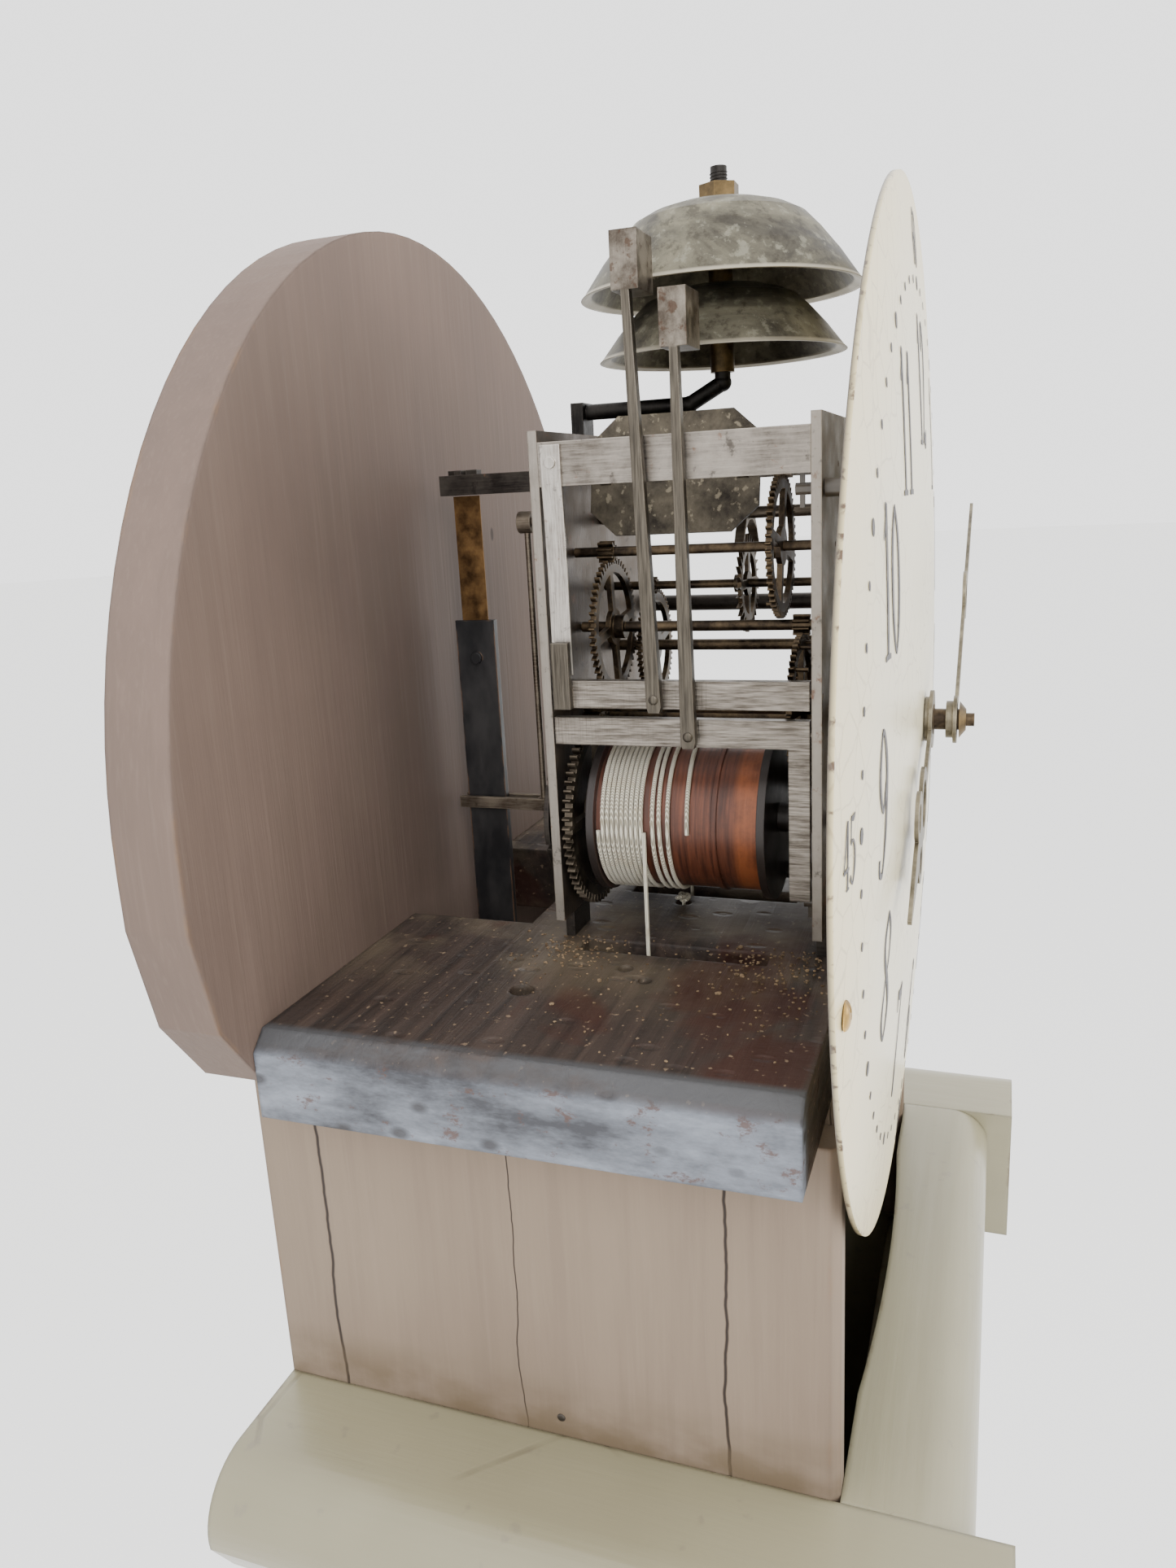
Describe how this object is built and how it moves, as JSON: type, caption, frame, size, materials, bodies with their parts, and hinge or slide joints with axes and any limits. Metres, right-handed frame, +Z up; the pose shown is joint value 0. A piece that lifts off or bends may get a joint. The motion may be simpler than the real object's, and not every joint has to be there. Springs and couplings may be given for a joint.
{
  "type": "longcase clock",
  "caption": "Longcase clock with a rounded belly case and bullnosed collar, its hood lifted off to show the striking movement, bells, painted dial and pierced hands.",
  "frame": {"origin": "floor level under the middle of the bounding box", "axes": "+Z up, the dial faces -Y, +X to the right of someone facing the dial"},
  "size_m": [0.43, 0.268, 1.902],
  "materials": {
    "greige_paint": "matte, aged pine under worn grey-beige paint",
    "olive_cream_paint": "satin, cracked cream and olive-grey paint on pine",
    "dark_seat_wood": "dusty, dark aged pine with stains",
    "forged_iron": "satin, dark forged iron with brown patina",
    "bright_steel": "worn bright steel with rust spots",
    "aged_brass": "dull aged brass",
    "bell_metal": "bell bronze with grey-green patina",
    "barrel_copper": "satin red-brown drum with orange wear",
    "braided_cord": "off-white braided cord",
    "black_rod": "semi-gloss black",
    "hand_bronze": "grey-brown bronze",
    "dial_paint": "satin cream paint, fine cracks, yellowed rim"
  },
  "bodies": {
    "case": {"backboard": "greige_paint", "neck_side_left": "greige_paint", "neck_side_right": "greige_paint", "collar_rail_left": "olive_cream_paint", "collar_rail_right": "olive_cream_paint", "collar_front_board": "olive_cream_paint", "trunk_sides": "olive_cream_paint", "trunk_front": "olive_cream_paint", "door_hinges": "forged_iron", "plinth": "olive_cream_paint", "seat_board": "dark_seat_wood", "front_plate": "forged_iron", "back_plate": "forged_iron", "pillars": "forged_iron", "strap_bar": "bright_steel", "pendulum_cock": "forged_iron", "hammer_spring": "bright_steel", "bell_stand": "forged_iron", "bell_big": "bell_metal", "bell_small": "bell_metal", "bell_nut": "aged_brass", "dial": "dial_paint"},
    "door": {"trunk_door": "olive_cream_paint", "door_hinge_leaves": "forged_iron"},
    "knob": {"door_knob": "aged_brass"},
    "going_barrel": {"going_barrel": "barrel_copper", "going_great_wheel": "aged_brass", "going_winding": "braided_cord"},
    "centre": {"centre_wheel": "aged_brass", "cannon_pinion": "aged_brass", "minute_hand": "hand_bronze", "hand_washer": "aged_brass"},
    "third": {"third_wheel": "aged_brass"},
    "escape": {"escape_wheel": "aged_brass"},
    "minute_work": {"minute_wheel": "aged_brass"},
    "hour": {"hour_wheel": "aged_brass", "hour_hand": "hand_bronze"},
    "anchor": {"pallets": "forged_iron", "crutch": "forged_iron"},
    "pendulum": {"suspension_spring": "aged_brass", "pendulum_rod": "black_rod", "pendulum_bob": "aged_brass", "rating_nut": "aged_brass"},
    "strike_barrel": {"strike_barrel": "barrel_copper", "strike_great_wheel": "aged_brass", "strike_winding": "braided_cord", "count_wheel": "forged_iron"},
    "pin_wheel": {"pin_wheel": "aged_brass"},
    "locking_wheel": {"locking_wheel": "forged_iron"},
    "warning_wheel": {"warning_wheel": "forged_iron"},
    "fly_arbor": {"fly_arbor": "forged_iron"},
    "fly": {"fly": "forged_iron"},
    "hammer_large": {"hammer_large": "forged_iron"},
    "hammer_small": {"hammer_small": "forged_iron"},
    "going_weight": {"going_weight": "forged_iron", "going_cord": "braided_cord"},
    "going_pulley": {"going_pulley": "aged_brass"},
    "strike_weight": {"strike_weight": "forged_iron", "strike_cord": "braided_cord"},
    "strike_pulley": {"strike_pulley": "aged_brass"}
  },
  "joints": [
    {"name": "going_barrel_turn", "type": "hinge", "parent": "case", "child": "going_barrel", "pos_m": [0.033, -0.06, 1.668], "axis": [0, 1, 0], "range_deg": [-2520, 1800]},
    {"name": "centre_turn", "type": "hinge", "parent": "case", "child": "centre", "pos_m": [0, -0.06, 1.7], "axis": [0, 1, 0], "continuous": true},
    {"name": "third_turn", "type": "hinge", "parent": "case", "child": "third", "pos_m": [0.00589, -0.06, 1.72819], "axis": [0, 1, 0], "continuous": true},
    {"name": "escape_turn", "type": "hinge", "parent": "case", "child": "escape", "pos_m": [0, -0.06, 1.753], "axis": [0, 1, 0], "continuous": true},
    {"name": "minute_wheel_turn", "type": "hinge", "parent": "case", "child": "minute_work", "pos_m": [0, -0.072, 1.676], "axis": [0, 1, 0], "continuous": true},
    {"name": "hour_turn", "type": "hinge", "parent": "case", "child": "hour", "pos_m": [0, -0.084, 1.7], "axis": [0, 1, 0], "continuous": true},
    {"name": "strike_barrel_turn", "type": "hinge", "parent": "case", "child": "strike_barrel", "pos_m": [-0.033, -0.06, 1.668], "axis": [0, 1, 0], "range_deg": [-2520, 1800]},
    {"name": "pin_wheel_turn", "type": "hinge", "parent": "case", "child": "pin_wheel", "pos_m": [-0.0315, -0.06, 1.70951], "axis": [0, 1, 0], "continuous": true},
    {"name": "locking_wheel_turn", "type": "hinge", "parent": "case", "child": "locking_wheel", "pos_m": [-0.029, -0.06, 1.74001], "axis": [0, 1, 0], "continuous": true},
    {"name": "warning_wheel_turn", "type": "hinge", "parent": "case", "child": "warning_wheel", "pos_m": [-0.033, -0.06, 1.76853], "axis": [0, 1, 0], "continuous": true},
    {"name": "fly_arbor_turn", "type": "hinge", "parent": "case", "child": "fly_arbor", "pos_m": [-0.026, -0.06, 1.79569], "axis": [0, 1, 0], "continuous": true},
    {"name": "fly_slip", "type": "hinge", "parent": "fly_arbor", "child": "fly", "pos_m": [-0.026, -0.06, 1.79569], "axis": [0, 1, 0], "continuous": true},
    {"name": "pendulum_swing", "type": "hinge", "parent": "case", "child": "pendulum", "pos_m": [0, 0.093, 1.791], "axis": [0, 1, 0], "range_deg": [-2.5, 2.5]},
    {"name": "anchor_rock", "type": "hinge", "parent": "case", "child": "anchor", "pos_m": [0, -0.06, 1.77987], "axis": [0, 1, 0], "range_deg": [-3, 3]},
    {"name": "hammer_large_lift", "type": "hinge", "parent": "case", "child": "hammer_large", "pos_m": [-0.063, -0.06, 1.72], "axis": [0, 1, 0], "range_deg": [-10, 0]},
    {"name": "hammer_small_lift", "type": "hinge", "parent": "case", "child": "hammer_small", "pos_m": [-0.063, -0.06, 1.7065], "axis": [0, 1, 0], "range_deg": [-10, 0]},
    {"name": "door_swing", "type": "hinge", "parent": "case", "child": "door", "pos_m": [0.171, -0.092, 0.82], "axis": [0, 0, 1], "range_deg": [0, 105]},
    {"name": "knob_turn", "type": "hinge", "parent": "door", "child": "knob", "pos_m": [-0.151, -0.084, 0.86], "axis": [0, 1, 0], "range_deg": [-90, 0]},
    {"name": "going_weight_travel", "type": "slide", "parent": "case", "child": "going_weight", "axis": [0, 0, 1], "range_m": [-0.6354, 0.4542], "deforming": ["going_cord"]},
    {"name": "strike_weight_travel", "type": "slide", "parent": "case", "child": "strike_weight", "axis": [0, 0, 1], "range_m": [-0.6354, 0.4542], "deforming": ["strike_cord"]},
    {"name": "going_pulley_turn", "type": "hinge", "parent": "going_weight", "child": "going_pulley", "pos_m": [0.03, 0.002, 1.006], "axis": [0, 1, 0], "continuous": true},
    {"name": "strike_pulley_turn", "type": "hinge", "parent": "strike_weight", "child": "strike_pulley", "pos_m": [-0.036, 0.002, 1.006], "axis": [0, 1, 0], "continuous": true}
  ],
  "couplings": [
    {"joint": "centre_turn", "follows": "going_barrel_turn", "ratio": -10.5},
    {"joint": "third_turn", "follows": "going_barrel_turn", "ratio": 84},
    {"joint": "escape_turn", "follows": "going_barrel_turn", "ratio": -630},
    {"joint": "minute_wheel_turn", "follows": "going_barrel_turn", "ratio": 3.5},
    {"joint": "hour_turn", "follows": "going_barrel_turn", "ratio": -0.875},
    {"joint": "going_weight_travel", "follows": "going_barrel_turn", "m_per_rad": 0.014425},
    {"joint": "going_pulley_turn", "follows": "going_barrel_turn", "ratio": 0.55803},
    {"joint": "pin_wheel_turn", "follows": "strike_barrel_turn", "ratio": -6.5},
    {"joint": "locking_wheel_turn", "follows": "strike_barrel_turn", "ratio": 48.75},
    {"joint": "warning_wheel_turn", "follows": "strike_barrel_turn", "ratio": -341.25},
    {"joint": "fly_arbor_turn", "follows": "strike_barrel_turn", "ratio": 2474.1},
    {"joint": "strike_weight_travel", "follows": "strike_barrel_turn", "m_per_rad": 0.014425},
    {"joint": "strike_pulley_turn", "follows": "strike_barrel_turn", "ratio": 0.55803},
    {"joint": "anchor_rock", "follows": "pendulum_swing", "ratio": 1.0929}
  ]
}
